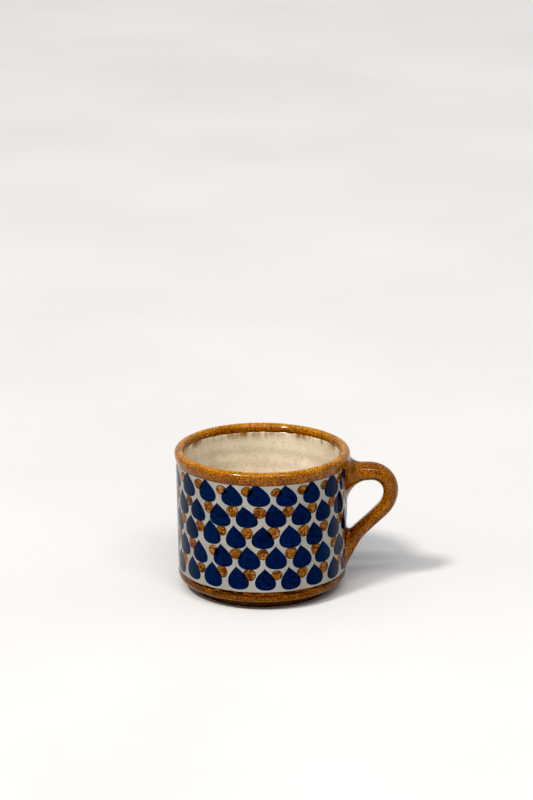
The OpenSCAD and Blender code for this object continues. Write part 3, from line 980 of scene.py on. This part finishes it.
# %% Paints
def cobalt_paint(name):
    f = Finish(name, ior=1.19, gloss=0.45)
    wash = f.noise(0.5, 5, distortion=0.8)
    colour = f.mix(f.span(wash, 0.3, 0.72), tint(0, 13, 38), tint(5, 29, 60))
    colour = f.mix(f.math("MULTIPLY", f.mark("tone"), 0.45), colour, tint(1, 28, 62))
    fine = f.noise(1.6, 3, shift=4.0)
    colour = f.mix(f.span(fine, 0.5, 0.7, 0, 0.6), colour, tint(0, 5, 27))
    colour = f.mix(f.span(f.mark("height"), 0.86, 1.02, 0, 0.7), colour, tint(30, 56, 66))
    colour = f.mix(f.span(f.mark("edge"), 0.0, 0.4, 0.5, 0), colour, tint(12, 34, 74))
    return f.glassy(colour, fine, 0.09, 0.18)


def amber_wash(name):
    f = Finish(name, ior=1.19, gloss=0.45)
    wash = f.noise(0.5, 4, distortion=1.4, shift=2.0)
    colour = f.mix(f.span(wash, 0.32, 0.62), tint(176, 122, 62), tint(114, 68, 24))
    brush = f.noise(0.34, 2, stretch=(1, 1, 1.4), distortion=1.2, shift=9.0)
    ridge = f.span(f.math("ABSOLUTE", f.math("SUBTRACT", brush, 0.5)), 0.01, 0.06, 1, 0)
    colour = f.mix(ridge, colour, tint(30, 12, 4))
    blot = f.span(f.noise(0.3, 3, distortion=0.8, shift=15.0), 0.53, 0.62)
    colour = f.mix(f.math("MULTIPLY", blot, 0.9), colour, tint(46, 20, 5))
    colour = f.mix(f.span(f.mark("edge"), 0.1, 0.6, 0.85, 0), colour, tint(66, 30, 5))
    colour = f.mix(f.math("MULTIPLY", f.mark("tone"), 0.4), colour, tint(100, 54, 8))
    grain = f.span(f.noise(1.4, 3, shift=21.0), 0.52, 0.62)
    colour = f.mix(f.math("MULTIPLY", grain, 0.45), colour, tint(60, 28, 4))
    colour = f.mix(f.mark("over"), colour, tint(8, 5, 10))
    return f.glassy(colour, wash, 0.09, 0.18)


cobalt = cobalt_paint("cobalt")
dot_wash = amber_wash("dot_wash")

# %% [markdown]
# ## Bare stoneware
# Fired stoneware is matt and slightly gritty.

# %% Clay
def bare_clay(name, light, dark):
    f = Finish(name, ior=1.45)
    clouds = f.noise(0.12, 4)
    grit = f.noise(2.2, 3, shift=2.0)
    colour = f.mix(f.span(clouds, 0.3, 0.7), light, dark)
    colour = f.mix(f.span(grit, 0.5, 0.72, 0, 0.5), colour, tint(60, 42, 30))
    specks = f.span(f.grains(0.7, 1.0), 0.06, 0.14, 1, 0)
    colour = f.mix(f.math("MULTIPLY", specks, 0.6), colour, tint(70, 46, 30))
    f.colour(colour)
    f.roughness(f.span(grit, 0.3, 0.7, 0.62, 0.85))
    f.bumps((grit, 0.05), (f.noise(0.6, 3), 0.08))
    return f.material


# painted shade: the cup's clay is given a much darker tone than the slip, which is the same clay, so that
# the foot ring deep under the heel reads as shade
clay = bare_clay("fired_clay", tint(92, 68, 50), tint(72, 52, 38))
slip = bare_clay("fired_slip", tint(186, 156, 122), tint(166, 134, 100))

# %% [markdown]
# ## Dress and place every piece
# Each piece now gets its finish, rides on the mug's one body and takes the place of the CAD
# node it stands for. Each row also names a slot, and the brown glaze of lip, foot and handle
# share one name, but no slot is given here.

# %% Dress and place every piece
dressing = ((pale_band, pale_on_band, "band_glaze", "pale_glaze"),
            (amber_rim, amber_on_cup, "rim_glaze", "brown_glaze"),
            (amber_foot, amber_on_foot, "foot_glaze", "brown_glaze"),
            (amber_handle, amber_on_strap, "handle_glaze", "brown_glaze"),
            (cream_liner, cream_inside, "liner_glaze", "cream_glaze"),
            (turned_clay, clay, "clay_body", "fired_clay"),
            (clay_strap, clay, "handle", "fired_clay"),
            (slip_root, slip, "upper_slip_joint", "fired_slip"),
            (slip_tail, slip, "lower_slip_joint", "fired_slip"),
            (cobalt_drops, cobalt, "blue_drops", "cobalt_paint"),
            (amber_dabs, dot_wash, "amber_dots", "amber_paint"))
for piece, finish, node, slot_name in dressing:
    piece.data.materials.append(finish)
    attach(piece, "root")
    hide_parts(node)
    print("%s wears %s, a recipe of %d nodes" % (piece.name, finish.name,
                                                 len(finish.node_tree.nodes)))

# %% [markdown]
# ## The floor
# A plain pale floor lets the glaze speak. It is wide enough to fill the picture, and a faint
# cloudiness and grain keep it from looking like empty paper.

# %% Floor
def floor_finish(name):
    f = Finish(name, ior=1.4)
    cloud = f.noise(0.004, 3)
    fine = f.noise(0.5, 4)
    colour = f.mix(f.span(cloud, 0.3, 0.7), tint(204, 202, 200), tint(210, 208, 206))
    colour = f.mix(f.span(fine, 0.45, 0.8, 0, 0.12), colour, tint(182, 177, 170))
    f.colour(colour)
    f.roughness(f.span(fine, 0.3, 0.7, 0.6, 0.75))
    f.bumps((fine, 0.03),)
    return f.material


side = 6.0
floor = bpy.data.meshes.new("floor")
floor.from_pydata([(-side, -side, 0), (side, -side, 0), (side, side, 0), (-side, side, 0)], [],
                  [(0, 1, 2, 3)])
floor_piece = bpy.data.objects.new("floor", floor)
floor_piece.data.materials.append(floor_finish("pale_floor"))
bpy.context.scene.collection.objects.link(floor_piece)
print("floor %.0f m wide" % (2 * side))

# %% [markdown]
# ## Light
# A sun with a wide disc, high on the left, is the key and throws the soft shadow to the right.
# A long narrow lamp above the front draws the bright line along the lip. The pale world fills
# the shadows and brightens the mug's sides by reflection.

# %% Lights
def lamp(name, place, aim, size, power, warmth=(1, 1, 1)):
    """A rectangular soft lamp at place, pointed at aim."""
    data = bpy.data.lights.new(name, "AREA")
    data.shape = "RECTANGLE"
    data.size, data.size_y = size
    data.energy = power
    data.color = warmth
    obj = bpy.data.objects.new(name, data)
    obj.location = place
    way = np.array(place) - np.array(aim)
    way /= np.linalg.norm(way)
    yaw = math.atan2(way[0], -way[1])
    obj.rotation_euler = (math.acos(way[2]), 0, yaw)
    bpy.context.scene.collection.objects.link(obj)
    print("%s lamp, %.0f W" % (name, power))


middle = (0.0, 0.0, 0.04)
sun_data = bpy.data.lights.new("sun", "SUN")
sun_data.energy = 2.3
sun_data.angle = math.radians(9)
sun_data.color = (1.0, 0.97, 0.93)
sun = bpy.data.objects.new("sun", sun_data)
sun.rotation_euler = (math.radians(38), 0, math.radians(-43))
bpy.context.scene.collection.objects.link(sun)
lamp("strip", (-0.02, -1.6, 2.4), middle, (2.8, 0.16), 56)
world = bpy.data.worlds.new("studio")
world.use_nodes = True
world.node_tree.nodes["Background"].inputs["Color"].default_value = (0.95, 0.97, 1.0, 1)
world.node_tree.nodes["Background"].inputs["Strength"].default_value = 0.57
bpy.context.scene.world = world

# %% [markdown]
# ## Black point
# Haze from stray reflections lifts the darkest colours of any picture. A photographer sets the
# black point to bring them back, and the curve's black level does the same here.

# %% Black point
view = bpy.context.scene.view_settings
view.view_transform = "Standard"
view.use_curve_mapping = True
view.curve_mapping.black_level = (0.012, 0.012, 0.012)
view.curve_mapping.update()
